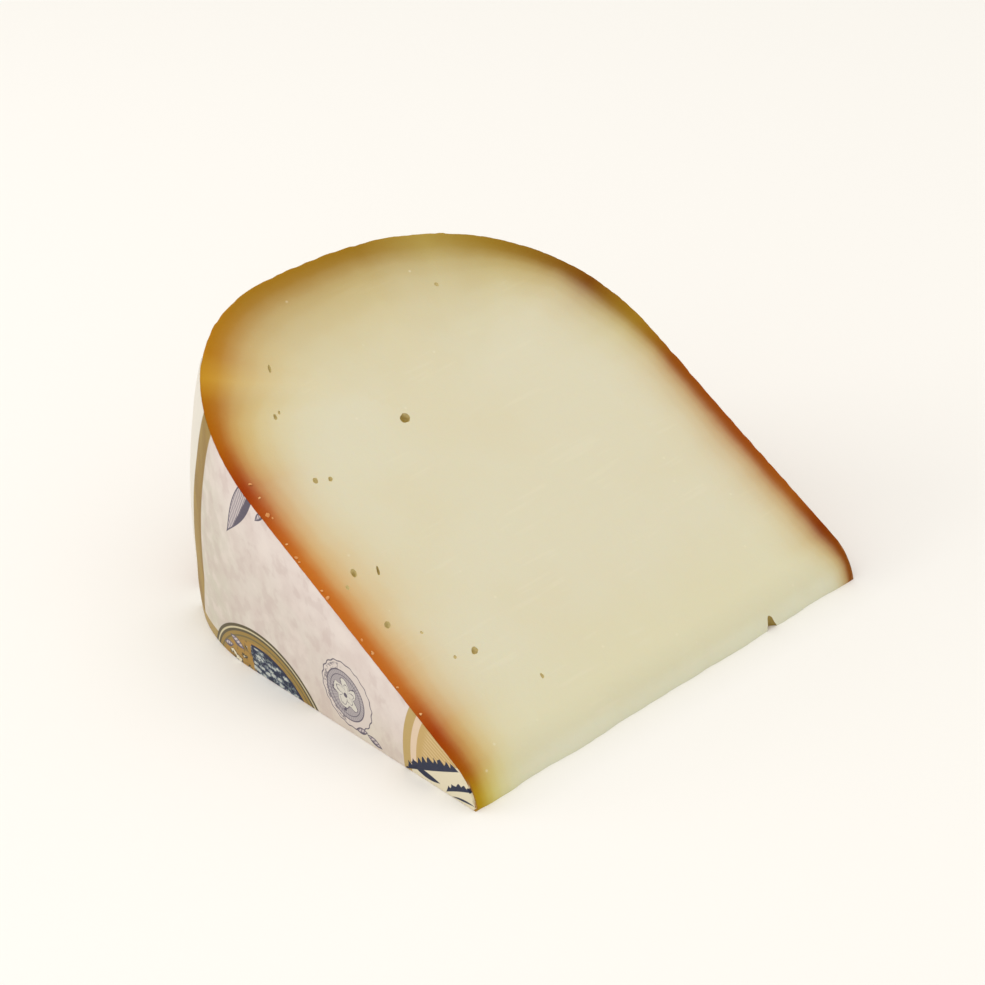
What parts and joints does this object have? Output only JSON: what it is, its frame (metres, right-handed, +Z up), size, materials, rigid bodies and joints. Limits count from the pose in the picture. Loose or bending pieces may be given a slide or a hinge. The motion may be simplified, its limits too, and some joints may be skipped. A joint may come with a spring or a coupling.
{
  "type": "cheese wedge",
  "caption": "Wedge of pressed cheese cut from a small round wheel, lying on one cut face, with natural rind along its edge and a sector of the wheel's paper label.",
  "frame": {"origin": "middle of the object's box at its lowest level, on the lower cut face that the wedge lies on", "axes": "+X from the rim towards the blunt tip, +Y from the labelled face of the wheel towards its plain face, along the wheel's axis, +Z up"},
  "size_m": [0.114, 0.1006, 0.0661],
  "materials": {
    "cheese": "satin pale cream paste, with an amber to red-brown natural rind that fades into it",
    "label_paper": "matt mottled paper with a gold ring and small printed motifs"
  },
  "bodies": {
    "root": {"cheese": "cheese", "label": "label_paper"}
  },
  "joints": []
}
